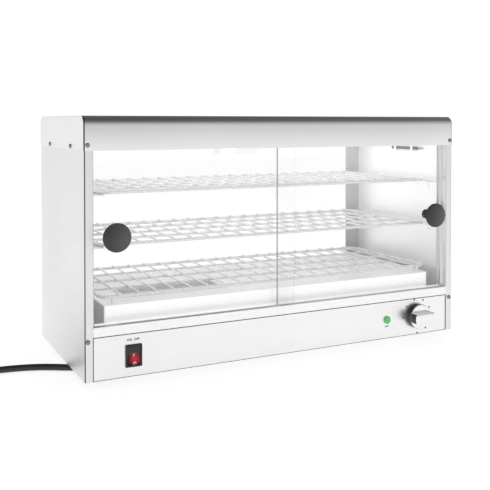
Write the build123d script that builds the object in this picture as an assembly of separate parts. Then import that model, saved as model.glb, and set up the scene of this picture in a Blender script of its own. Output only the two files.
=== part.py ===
from build123d import *
import math
import os

# Heated countertop display case with two sliding glass doors and three wire shelves.
# Millimetres. X to the right, Y to the back, Z up. The case is drawn with z = 0 at its bottom edge,
# then stood on its feet: the saved frame has its origin on the counter under the middle of the case.

# ---------- driving dimensions ----------
CASE_WIDTH = 660.0
CASE_DEPTH = 280.0
CASE_HEIGHT = 376.0
FOOT_HEIGHT = 15.0
HOOD_BOTTOM = 326.0
SILL_TOP = 76.0
BASE_TOP = 62.2
SHEET = 1.0
GAP = 0.1
HOOD_SHEET = 0.8
HOOD_BEND = 13.5
HOOD_END_RADIUS = 2.0

HALF_WIDTH = CASE_WIDTH / 2
FRONT = -CASE_DEPTH / 2
REAR = CASE_DEPTH / 2
PANEL_OUTSIDE = HALF_WIDTH - HOOD_SHEET - GAP
OPENING_HALF = 317.5
FLANGE_FRONT = FRONT + HOOD_SHEET + GAP
FLANGE_REAR = -FLANGE_FRONT
INSIDE_REAR = 129.5
CEILING_Z = 344.0
FLOOR_Z = 62.6
DECK_TOP = 100.8

# door tracks and doors
TRACK_BACK = -116.6
TRACK_WALL = 1.3
CHANNEL = 9.45
TRACK_FLOOR = 65.6
GLASS = 4.0
DOOR_WIDTH = 329.0
DOOR_BOTTOM = 66.4
DOOR_TOP = 334.0
DOOR_EDGE = 315.9
FRONT_DOOR_Y = TRACK_BACK - 3 * TRACK_WALL - 2 * CHANNEL + TRACK_WALL + CHANNEL / 2
REAR_DOOR_Y = TRACK_BACK - TRACK_WALL - CHANNEL / 2
PULL_X = 287.4
PULL_Z = 204.5
PULL_RADIUS = 20.75
PULL_STEM = 7.0
PULL_REACH = 24.6

# shelves
SHELF_HALF_X = 296.0
SHELF_FRONT = -107.0
SHELF_REAR = 112.0
SHELF_LEG_X = 279.0
FRAME_WIRE = 2.5
LONG_WIRE = 2.0
CROSS_WIRE = 1.5
CROSS_COUNT = 20
LONG_COUNT = 3
SHELF_Z = {"top": 264.0, "middle": 187.5, "bottom": 111.0}
LEDGE_GAP = 0.3
SUPPORT_HEIGHT = 22.0
SUPPORT_LEDGE = 26.0

# heater deck, water tray and element
DECK_HALF_X = 294.5
DECK_FRONT = -115.5
DECK_REAR = 114.0
TRAY_X = (-250.0, -85.0)
TRAY_Y = (-75.0, -20.0)
TRAY_BOTTOM = 72.0
ELEMENT_Z = 82.0
ELEMENT_RADIUS = 4.0
ELEMENT_Y = (15.0, 75.0)
ELEMENT_RIGHT = 255.0
ELEMENT_LEFT = -230.0

# controls
BASE_FACE = -138.4
SWITCH_X = -257.35
SWITCH_Z = 29.9
BEZEL = (25.3, 32.8, 2.0)
SWITCH_CAVITY = (20.0, 27.2)
ROCKER_RADIUS = 13.3
ROCKER_REST = 10.0
PILOT_X = 190.9
KNOB_X = 255.0
CONTROL_Z = 31.2
KNOB_RADIUS = 21.3
KNOB_FACE = -162.0

# screws and feet
HEAD_RADIUS = 3.4
HEAD_HEIGHT = 2.0
SHANK_RADIUS = 1.75
SCREW_HOLE = 1.95
FOOT_X = 290.0
FOOT_Y = 78.0
FOOT_RADIUS = 14.0
FOOT_TIP_RADIUS = 10.5
FOOT_CUP_RADIUS = 6.5
FOOT_CUP_TOP = -8.0
FOOT_SCREW_RADIUS = 2.5

# mains lead, in the saved frame (origin on the counter)
CORD_RADIUS = 5.0
CORD_ROUTE = [
    (-100, 152, 37), (-100, 178, 37), (-100, 208, 35), (-102, 246, 26), (-125, 280, 15), (-163, 292, 7),
    (-201, 280, 5), (-223, 246, 5), (-225, 200, 5), (-219, 120, 5), (-225, 48, 5),
    (-241, 5, 5), (-266, -17, 5), (-295, -24, 5), (-323, -16, 5), (-348, 0, 5),
    (-373, 11, 5), (-402, 18, 5), (-436, 20.5, 5), (-469, 20.5, 5),
]
COIL_CENTRE = (-494.0, 80.5)
COIL_RINGS = (50.0, 60.0)
COIL_LAYERS = 2
RELIEF_X = -100.0
RELIEF_Z = 22.0
RELIEF_MOUTH = 168.0
PLUG_LIFT = 18.0

HEAD_REAR = REAR + HEAD_HEIGHT
DEPTH_SHIFT = -(KNOB_FACE + HEAD_REAR) / 2
ON_FEET = Pos(0, DEPTH_SHIFT, FOOT_HEIGHT)
IN_PLACE = Pos(0, 0, 0)

os.makedirs("parts", exist_ok=True)


# ---------- helpers ----------
def block(x, y, z):
    """A box between two values along each axis."""
    size = [abs(v[1] - v[0]) for v in (x, y, z)]
    centre = [(v[0] + v[1]) / 2 for v in (x, y, z)]
    return Pos(*centre) * Box(*size)


def rod_x(radius, x, y, z):
    return Pos((x[0] + x[1]) / 2, y, z) * Rot(0, 90, 0) * Cylinder(radius, abs(x[1] - x[0]))


def rod_y(radius, x, y, z):
    return Pos(x, (y[0] + y[1]) / 2, z) * Rot(90, 0, 0) * Cylinder(radius, abs(y[1] - y[0]))


def rod_z(radius, x, y, z):
    return Pos(x, y, (z[0] + z[1]) / 2) * Cylinder(radius, abs(z[1] - z[0]))


def turned(points):
    """A solid of revolution about Z from an outline in the XZ plane."""
    return revolve(make_face(Plane.XZ * Polyline(*points, close=True)), Axis.Z)


def tube(points, corner_radii, radius):
    """A round bar along straight runs joined by tangent arcs."""
    path = FilletPolyline(*points, radius=corner_radii)
    start = Plane(origin=path @ 0, z_dir=path % 0)
    return sweep(start * Circle(radius), path=path)


def mirrored(shape):
    return mirror(shape, about=Plane.YZ)


def group(solids):
    return Compound([s for item in solids for s in item.solids()])


def save(name, shape, place=ON_FEET):
    export_step(place * shape, f"parts/{name}.step")


ON_TOP = (Align.CENTER, Align.CENTER, Align.MIN)
BELOW = (Align.CENTER, Align.CENTER, Align.MAX)
FACING_FRONT = Rot(90, 0, 0)
FACING_REAR = Rot(-90, 0, 0)
FACING_RIGHT = Rot(0, 90, 0)
FACING_LEFT = Rot(0, -90, 0)


def screw(length):
    """A pan head screw with a cross recess: the head's seat is at z = 0, the shank points down."""
    head = Cylinder(HEAD_RADIUS, HEAD_HEIGHT, align=ON_TOP)
    head = fillet(head.edges().group_by(Axis.Z)[-1], HEAD_HEIGHT * 0.7)
    slot = Pos(0, 0, HEAD_HEIGHT) * Box(HEAD_RADIUS * 1.2, 0.9, 1.6)
    recess = slot + Rot(0, 0, 90) * slot
    shank = Cylinder(SHANK_RADIUS, length, align=BELOW)
    return head + shank - recess


# ---------- casing ----------
def bent_cover(width, depth, low, high, bend, end_radius):
    """A cover bent down along its front and rear, with flat ends."""
    cover = block((-width / 2, width / 2), (-depth / 2, depth / 2), (low, high))
    cover = fillet(cover.edges().filter_by(Axis.X).group_by(Axis.Z)[-1], bend)
    ends = cover.edges().group_by(Axis.X)
    outline = [e for e in (*ends[0], *ends[-1]) if e.center().Z > low + 1]
    return fillet(outline, end_radius)


HOOD_FRONT_SCREW = (324.5, 334.0)
HOOD_SIDE_SCREW = (66.5, 331.0)
BASE_SCREW_Z = 57.0


def top_hood():
    t = HOOD_SHEET
    outside = bent_cover(CASE_WIDTH, CASE_DEPTH, HOOD_BOTTOM, CASE_HEIGHT, HOOD_BEND, HOOD_END_RADIUS)
    inside = bent_cover(
        CASE_WIDTH - 2 * t, CASE_DEPTH - 2 * t, HOOD_BOTTOM - 5,
        CASE_HEIGHT - t, HOOD_BEND - t, HOOD_END_RADIUS - t,
    )
    hood = outside - inside
    for side in (-1, 1):
        x, z = HOOD_FRONT_SCREW
        hood -= rod_y(SCREW_HOLE, side * x, (FRONT - 5, FRONT + 5), z)
        hood -= rod_y(SCREW_HOLE, side * x, (REAR - 5, REAR + 5), z)
        for y in (-HOOD_SIDE_SCREW[0], HOOD_SIDE_SCREW[0]):
            hood -= rod_x(SCREW_HOLE, (side * HALF_WIDTH - 5, side * HALF_WIDTH + 5), y, HOOD_SIDE_SCREW[1])
    return hood


PANEL_BEND = 1.6
SCREW_CLEARANCE = 8.0


def right_side_panel():
    """A sheet with its front and rear edges turned in as flanges."""
    top = HOOD_FRONT_SCREW[1] + SCREW_CLEARANCE
    outside = block((OPENING_HALF, PANEL_OUTSIDE), (FLANGE_FRONT, FLANGE_REAR), (0, top))
    outside = fillet(outside.edges().filter_by(Axis.Z).group_by(Axis.X)[-1], PANEL_BEND)
    inside = block(
        (OPENING_HALF - 1, PANEL_OUTSIDE - SHEET), (FLANGE_FRONT + SHEET, FLANGE_REAR - SHEET), (-1, top + 1)
    )
    inside = fillet(inside.edges().filter_by(Axis.Z).group_by(Axis.X)[-1], PANEL_BEND - SHEET)
    panel = outside - inside
    x = HOOD_FRONT_SCREW[0]
    for z in (HOOD_FRONT_SCREW[1], BASE_SCREW_Z):
        panel -= rod_y(SCREW_HOLE, x, (FRONT - 5, FRONT + 5), z)
        panel -= rod_y(SCREW_HOLE, x, (REAR - 5, REAR + 5), z)
    for y in (-HOOD_SIDE_SCREW[0], HOOD_SIDE_SCREW[0]):
        panel -= rod_x(SCREW_HOLE, (PANEL_OUTSIDE - 3, PANEL_OUTSIDE + 3), y, HOOD_SIDE_SCREW[1])
    return panel


PROBE_Z = 318.0
PROBE_ENTRY_Y = -74.0
LINER_SHEET = 0.8
LINER_TOP = CEILING_Z + 12


def right_liner():
    front = FLANGE_FRONT + SHEET + GAP
    wall = (OPENING_HALF, OPENING_HALF + LINER_SHEET)
    return block(wall, (front, INSIDE_REAR + SHEET), (FLOOR_Z, LINER_TOP))


def right_liner_with_probe_hole():
    return right_liner() - rod_x(1.6, (OPENING_HALF - 2, OPENING_HALF + 2), PROBE_ENTRY_Y, PROBE_Z)


def right_jamb():
    """A strip with two ribs that guide the doors' outer edges."""
    web_x = (OPENING_HALF - 0.9, OPENING_HALF - 0.1)
    heights = (SILL_TOP + 0.4, HOOD_BOTTOM)
    partition = REAR_DOOR_Y - CHANNEL / 2 - TRACK_WALL
    web = block(web_x, (FLANGE_FRONT + SHEET + 0.2, TRACK_BACK), heights)
    middle_rib = block((web_x[0] - 3.4, web_x[1]), (partition, partition + TRACK_WALL), heights)
    rear_rib = block((web_x[0] - 2.4, web_x[1]), (TRACK_BACK - TRACK_WALL, TRACK_BACK), heights)
    return web + middle_rib + rear_rib


def ceiling_panel():
    half = OPENING_HALF - 0.2
    plate = block((-half, half), (TRACK_BACK + 0.2, INSIDE_REAR - 0.2), (CEILING_Z, CEILING_Z + SHEET))
    for side in (-1, 1):
        edge = (side * half, side * (half - SHEET))
        plate += block(edge, (TRACK_BACK + 0.2, INSIDE_REAR - 0.2), (CEILING_Z, LINER_TOP))
    return plate - rod_z(4.0, LAMP_LEFT - 10, 0, (CEILING_Z - 2, CEILING_Z + 4))


def track(low, high, floor, front, opens_up):
    """An E-shaped extrusion across the case: two channels side by side."""
    half = OPENING_HALF - 0.3
    body = block((-half, half), (front, TRACK_BACK), (low, high))
    mouth = (floor, high + 1) if opens_up else (low - 1, floor)
    for door_y in (FRONT_DOOR_Y, REAR_DOOR_Y):
        body -= block((-half - 1, half + 1), (door_y - CHANNEL / 2, door_y + CHANNEL / 2), mouth)
    return body


def lower_door_track():
    return track(FLOOR_Z, SILL_TOP, TRACK_FLOOR, BASE_FACE - 1.0, True)


def upper_door_track():
    return track(HOOD_BOTTOM + 1, CEILING_Z + 2, CEILING_Z + 0.5, FRONT + HOOD_SHEET + 0.3, False)


def base_front_panel():
    """The control panel: a plate with tabs behind the side flanges and a turned-in top and bottom."""
    half = OPENING_HALF - 0.4
    inner = BASE_FACE + SHEET
    plate = block((-half, half), (BASE_FACE, inner), (0.6, BASE_TOP))
    for side in (-1, 1):
        tab = (side * (half - 1), side * 327.5)
        plate += block(tab, (FLANGE_FRONT + SHEET + 0.1, FLANGE_FRONT + 2 * SHEET + 0.1), (2.0, BASE_TOP))
        plate -= rod_y(SCREW_HOLE, side * HOOD_FRONT_SCREW[0], (FRONT - 5, FRONT + 8), BASE_SCREW_Z)
    plate += block((-half, half), (BASE_FACE, BASE_FACE + 16), (BASE_TOP - SHEET, BASE_TOP))
    cutout = (BEZEL[0] / 2 - 1.5, BEZEL[1] / 2 - 1.3)
    plate -= block(
        (SWITCH_X - cutout[0], SWITCH_X + cutout[0]),
        (BASE_FACE - 2, inner + 2),
        (SWITCH_Z - cutout[1], SWITCH_Z + cutout[1]),
    )
    plate -= rod_y(5.5, PILOT_X, (BASE_FACE - 2, inner + 2), CONTROL_Z)
    return plate - rod_y(5.0, KNOB_X, (BASE_FACE - 2, inner + 2), CONTROL_Z)


BASE_REAR = FLANGE_REAR - SHEET - 0.1
VENT_COUNT = 9
VENT_PITCH = 16.0
RELIEF_BARREL = 7.0


def base_rear_panel():
    plate = block((-327.5, 327.5), (BASE_REAR - SHEET, BASE_REAR), (2.0, BASE_TOP))
    plate += block((-315, 315), (BASE_REAR - 18, BASE_REAR), (BASE_TOP - SHEET, BASE_TOP))
    for n in range(VENT_COUNT):
        x = 60 + n * VENT_PITCH
        plate -= block((x - 2, x + 2), (BASE_REAR - 3, BASE_REAR + 3), (16, 48))
    plate -= rod_y(RELIEF_BARREL + 0.05, RELIEF_X, (BASE_REAR - 3, BASE_REAR + 3), RELIEF_Z)
    for side in (-1, 1):
        plate -= rod_y(SCREW_HOLE, side * HOOD_FRONT_SCREW[0], (REAR - 9, REAR + 5), BASE_SCREW_Z)
    return plate


def bottom_plate():
    plate = block((-327.5, 327.5), (-136.5, 136.5), (0.6, 0.6 + SHEET))
    for x in (-FOOT_X, FOOT_X):
        for y in (-FOOT_Y, FOOT_Y):
            plate -= rod_z(2.6, x, y, (-1, 4))
    for row in (-40, 40):
        for n in range(VENT_COUNT):
            x = (n - VENT_COUNT // 2) * VENT_PITCH
            plate -= block((x - 2, x + 2), (row - 14, row + 14), (-1, 4))
    return plate


def cabinet_floor():
    half = OPENING_HALF - 0.2
    floor = block((-half, half), (TRACK_BACK + 0.3, BASE_REAR - SHEET), (FLOOR_Z, FLOOR_Z + SHEET))
    for y in ELEMENT_Y:
        floor -= rod_z(5.0, ELEMENT_RIGHT, y, (FLOOR_Z - 2, FLOOR_Z + 4))
    return floor


def rear_frame():
    half = OPENING_HALF - 0.2
    sheet = block((-half, half), (INSIDE_REAR, INSIDE_REAR + SHEET), (FLOOR_Z + SHEET + 0.1, CEILING_Z + 6))
    return sheet - block((-286, 286), (INSIDE_REAR - 2, INSIDE_REAR + 4), (80, 330))


GLASS_REAR_Y = INSIDE_REAR + SHEET + 0.3


def rear_glass():
    pane = block((-300, 300), (GLASS_REAR_Y, GLASS_REAR_Y + GLASS), (67, 341))
    return chamfer(pane.edges().filter_by(Axis.Z), 0.4)


def rear_retainer():
    """A Z-section strip that clips one upright edge of the rear pane to the frame."""
    over = GLASS_REAR_Y + GLASS + 0.2
    heights = (68, 340)
    lip = block((290, 304), (over, over + SHEET), heights)
    web = block((303, 304), (INSIDE_REAR + SHEET, over + SHEET), heights)
    foot = block((303, 315), (INSIDE_REAR + SHEET, INSIDE_REAR + 2 * SHEET), heights)
    strip = lip + web + foot
    rivet = Cylinder(2.6, 1.6, align=ON_TOP)
    for z in (90, 204, 318):
        strip += Pos(309.5, INSIDE_REAR + 2 * SHEET, z) * FACING_REAR * rivet
    return strip


# ---------- shelves ----------
def wire_shelf(height, legs):
    """A welded grid: a rounded frame with lengthwise wires, and cross wires laid on top."""
    depth = SHELF_REAR - SHELF_FRONT
    middle = (SHELF_REAR + SHELF_FRONT) / 2
    frame_path = Pos(0, middle, height) * RectangleRounded(2 * SHELF_HALF_X, depth, 14).wire()
    section = Plane(origin=frame_path @ 0, z_dir=frame_path % 0) * Circle(FRAME_WIRE)
    frame = sweep(section, path=frame_path)
    wires = []
    for n in range(LONG_COUNT):
        y = SHELF_FRONT + depth * (n + 1) / (LONG_COUNT + 1)
        wires.append(rod_x(LONG_WIRE, (-SHELF_HALF_X, SHELF_HALF_X), y, height))
    pitch = 2 * SHELF_HALF_X / (CROSS_COUNT + 1)
    lift = FRAME_WIRE + CROSS_WIRE - 0.9
    for n in range(CROSS_COUNT):
        x = -SHELF_HALF_X + pitch * (n + 1)
        wires.append(rod_y(CROSS_WIRE, x, (SHELF_FRONT - 1, SHELF_REAR + 1), height + lift))
    if legs:
        foot = DECK_TOP + LEDGE_GAP
        for x in (-SHELF_LEG_X, SHELF_LEG_X):
            for y in (SHELF_FRONT, SHELF_REAR):
                wires.append(rod_z(LONG_WIRE, x, y, (foot, height)))
    return frame.fuse(*wires)


def right_support(height):
    """An angle on the liner that carries one side of a shelf."""
    ledge = height - FRAME_WIRE - LEDGE_GAP
    wall = OPENING_HALF
    run = (TRACK_BACK + 1.6, 125.0)
    leg = block((wall - SHEET, wall), run, (ledge - SUPPORT_HEIGHT, ledge))
    shelf = block((wall - SUPPORT_LEDGE, wall), run, (ledge - SHEET, ledge))
    for y in (-90, 100):
        leg += rod_x(3.0, (wall - SHEET - 1.2, wall - 0.5), y, ledge - SUPPORT_HEIGHT / 2)
    return leg + shelf


# ---------- heater ----------
def heater_deck():
    outside = block((-DECK_HALF_X, DECK_HALF_X), (DECK_FRONT, DECK_REAR), (FLOOR_Z + SHEET + GAP, DECK_TOP))
    outside = fillet(outside.edges().filter_by(Axis.Z), 2.2)
    outside = fillet(outside.edges().group_by(Axis.Z)[-1], 1.4)
    half = DECK_HALF_X - SHEET
    inside = block((-half, half), (DECK_FRONT + SHEET, DECK_REAR - SHEET), (FLOOR_Z, DECK_TOP - SHEET))
    inside = fillet(inside.edges().filter_by(Axis.Z), 1.2)
    return outside - inside - block(TRAY_X, TRAY_Y, (DECK_TOP - 5, DECK_TOP + 5))


def water_tray():
    x, y = TRAY_X, TRAY_Y
    t = 0.8
    rim = block((x[0] - 4, x[1] + 4), (y[0] - 4, y[1] + 4), (DECK_TOP, DECK_TOP + t))
    well = block((x[0] + 0.6, x[1] - 0.6), (y[0] + 0.6, y[1] - 0.6), (TRAY_BOTTOM, DECK_TOP + t))
    well = fillet(well.edges().filter_by(Axis.Z), 6)
    hollow = block((x[0] + 1.4, x[1] - 1.4), (y[0] + 1.4, y[1] - 1.4), (TRAY_BOTTOM + t, DECK_TOP + 3))
    hollow = fillet(hollow.edges().filter_by(Axis.Z), 5.2)
    return rim + well - hollow


def heating_element():
    """A sheathed hairpin with both ends turned down through the cabinet floor."""
    end_z = FLOOR_Z - 14
    near, far = ELEMENT_Y
    radius = (far - near) / 2
    points = [
        (ELEMENT_RIGHT, near, end_z), (ELEMENT_RIGHT, near, ELEMENT_Z),
        (ELEMENT_LEFT - radius, near, ELEMENT_Z), (ELEMENT_LEFT - radius, far, ELEMENT_Z),
        (ELEMENT_RIGHT, far, ELEMENT_Z), (ELEMENT_RIGHT, far, end_z),
    ]
    element = tube(points, [15, radius - 0.05, radius - 0.05, 15], ELEMENT_RADIUS)
    for y in ELEMENT_Y:
        element += rod_z(2.0, ELEMENT_RIGHT, y, (end_z - 9, end_z))
    return element


def element_brackets():
    """Saddles that hold the element above the cabinet floor."""
    saddles = []
    base = FLOOR_Z + SHEET
    near, far = ELEMENT_Y
    for x in (-190, 20, 215):
        saddle = block((x - 3, x + 3), (near - 12, far + 12), (base, ELEMENT_Z))
        saddle -= block((x - 4, x + 4), (near + 14, far - 14), (base + 3, ELEMENT_Z + 1))
        for y in ELEMENT_Y:
            saddle -= rod_x(ELEMENT_RADIUS + 0.05, (x - 5, x + 5), y, ELEMENT_Z)
        saddles.append(saddle)
    return group(saddles)


# ---------- doors ----------
def door_pane(left_edge, y):
    pane = block((left_edge, left_edge + DOOR_WIDTH), (y - GLASS / 2, y + GLASS / 2), (DOOR_BOTTOM, DOOR_TOP))
    pane = chamfer(pane.edges().filter_by(Axis.Z), 0.5)
    return pane


def door_glass(side):
    if side < 0:
        pane = door_pane(-DOOR_EDGE, FRONT_DOOR_Y)
        return pane - rod_y(3.2, -PULL_X, (FRONT_DOOR_Y - 5, FRONT_DOOR_Y + 5), PULL_Z)
    pane = door_pane(DOOR_EDGE - DOOR_WIDTH, REAR_DOOR_Y)
    return pane - rod_y(3.2, PULL_X, (REAR_DOOR_Y - 5, REAR_DOOR_Y + 5), PULL_Z)


PULL_DISC = 4.2
PULL_DOME = 0.9


def door_pull(side):
    """A round, slightly domed knob on a short stem, screwed to the front of the glass."""
    dome_radius = (PULL_RADIUS**2 + PULL_DOME**2) / (2 * PULL_DOME)
    disc = Pos(0, 0, PULL_REACH - PULL_DISC) * Cylinder(PULL_RADIUS, PULL_DISC, align=ON_TOP)
    disc = disc & Pos(0, 0, PULL_REACH - dome_radius) * Sphere(dome_radius)
    rims = [e for e in disc.edges() if e.length > 6 * PULL_RADIUS]
    disc = fillet(rims, 1.2)
    stem = Cylinder(PULL_STEM, PULL_REACH - PULL_DISC + 0.5, align=ON_TOP)
    foot = chamfer(Cylinder(8.5, 2.2, align=ON_TOP).edges().group_by(Axis.Z)[-1], 0.8)
    flare = Pos(0, 0, PULL_REACH - PULL_DISC - 2.5) * Cone(PULL_STEM, 10.5, 3.0, align=ON_TOP)
    y = (FRONT_DOOR_Y if side < 0 else REAR_DOOR_Y) - GLASS / 2
    return Pos(side * PULL_X, y, PULL_Z) * FACING_FRONT * (disc + stem + foot + flare)


def door_fixing(side):
    """The washer and countersunk screw behind the glass."""
    y = (FRONT_DOOR_Y if side < 0 else REAR_DOOR_Y) + GLASS / 2
    washer = Cylinder(8.0, 1.6, align=ON_TOP)
    washer = chamfer(washer.edges().group_by(Axis.Z)[-1], 0.5)
    washer -= Pos(0, 0, 1.6) * Box(6.0, 1.0, 1.2)
    shank = Cylinder(2.6, GLASS, align=BELOW)
    return Pos(side * PULL_X, y, PULL_Z) * FACING_REAR * (washer + shank)


def door_glides(side):
    """Four nylon shoes on the glass that run in the channels."""
    y = FRONT_DOOR_Y if side < 0 else REAR_DOOR_Y
    left = -DOOR_EDGE if side < 0 else DOOR_EDGE - DOOR_WIDTH
    half = CHANNEL / 2 - 0.35
    shoes = []
    for x in (left + 30, left + DOOR_WIDTH - 30):
        for z, glass_z in (((TRACK_FLOOR + 0.3, 73.0), DOOR_BOTTOM), ((329.0, DOOR_TOP + 1.6), DOOR_TOP)):
            shoe = block((x - 10, x + 10), (y - half, y + half), z)
            pane = (glass_z, 80) if glass_z == DOOR_BOTTOM else (320, glass_z)
            shoe -= block((x - 11, x + 11), (y - GLASS / 2, y + GLASS / 2), pane)
            shoes.append(shoe)
    return group(shoes)


# ---------- controls ----------
def switch_housing():
    cavity = SWITCH_CAVITY
    body = (cavity[0] / 2 + 0.9, cavity[1] / 2 + 1.2)
    front = BASE_FACE - BEZEL[2]
    bezel = block(
        (-BEZEL[0] / 2, BEZEL[0] / 2), (front, BASE_FACE), (-BEZEL[1] / 2, BEZEL[1] / 2)
    )
    bezel = fillet(bezel.edges().filter_by(Axis.Y), 1.8)
    bezel = chamfer(bezel.edges().group_by(Axis.Y)[0], 0.7)
    barrel = block((-body[0], body[0]), (BASE_FACE - 0.5, BASE_FACE + 24), (-body[1], body[1]))
    housing = bezel + barrel
    housing -= block(
        (-cavity[0] / 2, cavity[0] / 2), (front - 2, BASE_FACE + 17), (-cavity[1] / 2, cavity[1] / 2)
    )
    housing -= rod_x(1.55, (-15, 15), ROCKER_Y, 0)
    for x in (-5, 5):
        for z in (-8, 8):
            housing += block((x - 0.4, x + 0.4), (BASE_FACE + 23, BASE_FACE + 32), (z - 3, z + 3))
    return Pos(SWITCH_X, 0, SWITCH_Z) * housing


ROCKER_Y = BASE_FACE + 2.4
ROCKER_HALF = 9.7


def switch_rocker():
    """The tilting key: a drum about its pivot with a shallow V across its face."""
    key = rod_x(ROCKER_RADIUS, (-ROCKER_HALF, ROCKER_HALF), 0, 0)
    tip = ROCKER_RADIUS * math.cos(math.radians(24.5))
    depth = ROCKER_RADIUS * math.sin(math.radians(24.5))
    wedge = Polyline((-20, -20), (-depth, -tip), (-2.6, 0), (-depth, tip), (-20, 20), close=True)
    cutter = extrude(make_face(Plane.YZ * wedge), 2 * ROCKER_HALF + 2, both=True)
    key -= cutter
    key -= block((-15, 15), (5, 15), (-15, 15))
    key += rod_x(1.5, (-ROCKER_HALF - 0.8, ROCKER_HALF + 0.8), 0, 0)
    return Pos(SWITCH_X, ROCKER_Y, SWITCH_Z) * Rot(-ROCKER_REST, 0, 0) * key


def pilot_lens():
    lens = Cylinder(6.5, 3.0, align=ON_TOP)
    lens = fillet(lens.edges().group_by(Axis.Z)[-1], 1.8)
    return Pos(PILOT_X, BASE_FACE, CONTROL_Z) * FACING_FRONT * lens


def pilot_body():
    """The lamp behind the lens, with its nut and two leads' tabs."""
    barrel = rod_y(5.4, PILOT_X, (BASE_FACE, BASE_FACE + 24), CONTROL_Z)
    nut = Pos(PILOT_X, BASE_FACE + SHEET, CONTROL_Z) * FACING_REAR * extrude(RegularPolygon(8.5, 6), 3.5)
    body = barrel + nut
    for x in (PILOT_X - 2.5, PILOT_X + 2.5):
        body += block((x - 0.4, x + 0.4), (BASE_FACE + 23, BASE_FACE + 31), (CONTROL_Z - 2, CONTROL_Z + 2))
    return body


THERMOSTAT_HALF = (17.0, 18.5)
THERMOSTAT_DEPTH = 30.0
SHAFT_RADIUS = 3.0


def thermostat_body():
    inner = BASE_FACE + SHEET
    half_x, half_z = THERMOSTAT_HALF
    body = block((-half_x, half_x), (inner, inner + THERMOSTAT_DEPTH), (-half_z, half_z))
    body = fillet(body.edges().filter_by(Axis.Y), 3)
    body -= rod_y(SHAFT_RADIUS + 0.05, 0, (inner - 1, inner + 14), 0)
    tab = (inner + THERMOSTAT_DEPTH - 1, inner + THERMOSTAT_DEPTH + 8)
    for x in (-10, 10):
        body += block((x - 0.4, x + 0.4), tab, (-3, 3))
    return Pos(KNOB_X, 0, CONTROL_Z) * body


def thermostat_shaft():
    shaft = rod_y(SHAFT_RADIUS, KNOB_X, (BASE_FACE + SHEET + 13, KNOB_FACE + 6), CONTROL_Z)
    flat = block((KNOB_X - 5, KNOB_X + 5), (KNOB_FACE, BASE_FACE - 6), (CONTROL_Z + 1.6, CONTROL_Z + 5))
    return shaft - flat


def thermostat_knob():
    """A round skirt with a full-width grip bar; the bar lies level at the off mark."""
    gap = 1.0
    back = BASE_FACE - gap
    reach = back - KNOB_FACE
    skirt_height = 9.0
    skirt = Cylinder(KNOB_RADIUS, skirt_height, align=ON_TOP)
    skirt = fillet(skirt.edges().group_by(Axis.Z)[-1], 1.6)
    column = Cylinder(KNOB_RADIUS - 0.4, reach, align=ON_TOP)
    column = fillet(column.edges().group_by(Axis.Z)[-1], 2.2)
    bar = Box(2 * KNOB_RADIUS + 2, 15, reach, align=ON_TOP)
    bar = fillet(bar.edges().filter_by(Axis.X).group_by(Axis.Z)[-1], 1.2)
    knob = skirt + (bar & column)
    bore = Cylinder(SHAFT_RADIUS + 0.05, reach - 5.8, align=ON_TOP)
    return Pos(KNOB_X, back, CONTROL_Z) * FACING_FRONT * (knob - bore)


CAVITY_X = 323.2
PROBE_X = 311.8
PROBE_Y = (-66.0, 9.0)


def capillary_tube():
    """The thin tube from the thermostat up inside the side wall to the probe."""
    start_x = KNOB_X + THERMOSTAT_HALF[0]
    y = BASE_FACE + 26
    z = CONTROL_Z + 10
    points = [
        (start_x, y, z), (CAVITY_X, y, z), (CAVITY_X, y, PROBE_Z - 24),
        (CAVITY_X, PROBE_ENTRY_Y, PROBE_Z), (PROBE_X, PROBE_ENTRY_Y, PROBE_Z), (PROBE_X, PROBE_Y[0], PROBE_Z),
    ]
    return tube(points, [9, 9, 5, 4], 1.0)


def temperature_probe():
    bulb = rod_y(3.0, PROBE_X, PROBE_Y, PROBE_Z)
    return fillet(bulb.edges().group_by(Axis.Y)[-1], 2.4)


def probe_clips():
    clips = []
    for y in (PROBE_Y[0] + 12, PROBE_Y[1] - 14):
        clip = block((PROBE_X - 4.2, OPENING_HALF), (y - 3, y + 3), (PROBE_Z - 4.2, PROBE_Z + 4.2))
        clip -= rod_y(3.05, PROBE_X, (y - 5, y + 5), PROBE_Z)
        clip += block((OPENING_HALF - 1, OPENING_HALF), (y - 3, y + 3), (PROBE_Z - 10, PROBE_Z + 4.2))
        clips.append(clip)
    return group(clips)


# ---------- interior lamp ----------
LAMP_Z = 324.0
LAMP_LEFT = -62.0
LAMP_TIP = 17.0
LAMP_GLASS = 13.0


def lamp_bracket():
    plate = block((LAMP_LEFT - 1.2, LAMP_LEFT), (-12, 12), (LAMP_Z - 12, CEILING_Z))
    foot = block((LAMP_LEFT - 1.2, LAMP_LEFT + 18), (-12, 12), (CEILING_Z - 1.2, CEILING_Z))
    return plate + foot - rod_x(4.0, (LAMP_LEFT - 3, LAMP_LEFT + 2), 0, LAMP_Z)


def lamp_holder():
    holder = rod_x(13.0, (LAMP_LEFT, LAMP_LEFT + 30), 0, LAMP_Z)
    holder = chamfer(holder.edges().group_by(Axis.X)[-1], 2)
    return holder - rod_x(8.05, (LAMP_LEFT + 8, LAMP_LEFT + 31), 0, LAMP_Z)


def lamp_bulb():
    """A tubular appliance lamp lying level, its cap in the holder."""
    length = LAMP_TIP - LAMP_LEFT
    profile = Plane.XZ * (
        Polyline((0, 9), (8.0, 9), (8.0, 31), (LAMP_GLASS, 37), (LAMP_GLASS, length - LAMP_GLASS))
        + ThreePointArc(
            (LAMP_GLASS, length - LAMP_GLASS),
            (LAMP_GLASS * math.cos(math.pi / 4), length - LAMP_GLASS * (1 - math.sin(math.pi / 4))),
            (0, length),
        )
        + Line((0, length), (0, 9))
    )
    return Pos(LAMP_LEFT, 0, LAMP_Z) * FACING_RIGHT * revolve(make_face(profile), Axis.Z)


# ---------- wiring ----------
BLOCK_X = (-84.0, -36.0)
WIRE_RADIUS = 1.2
WIRE_BEND = 3.5
WIRE_TOP = 362.0


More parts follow.
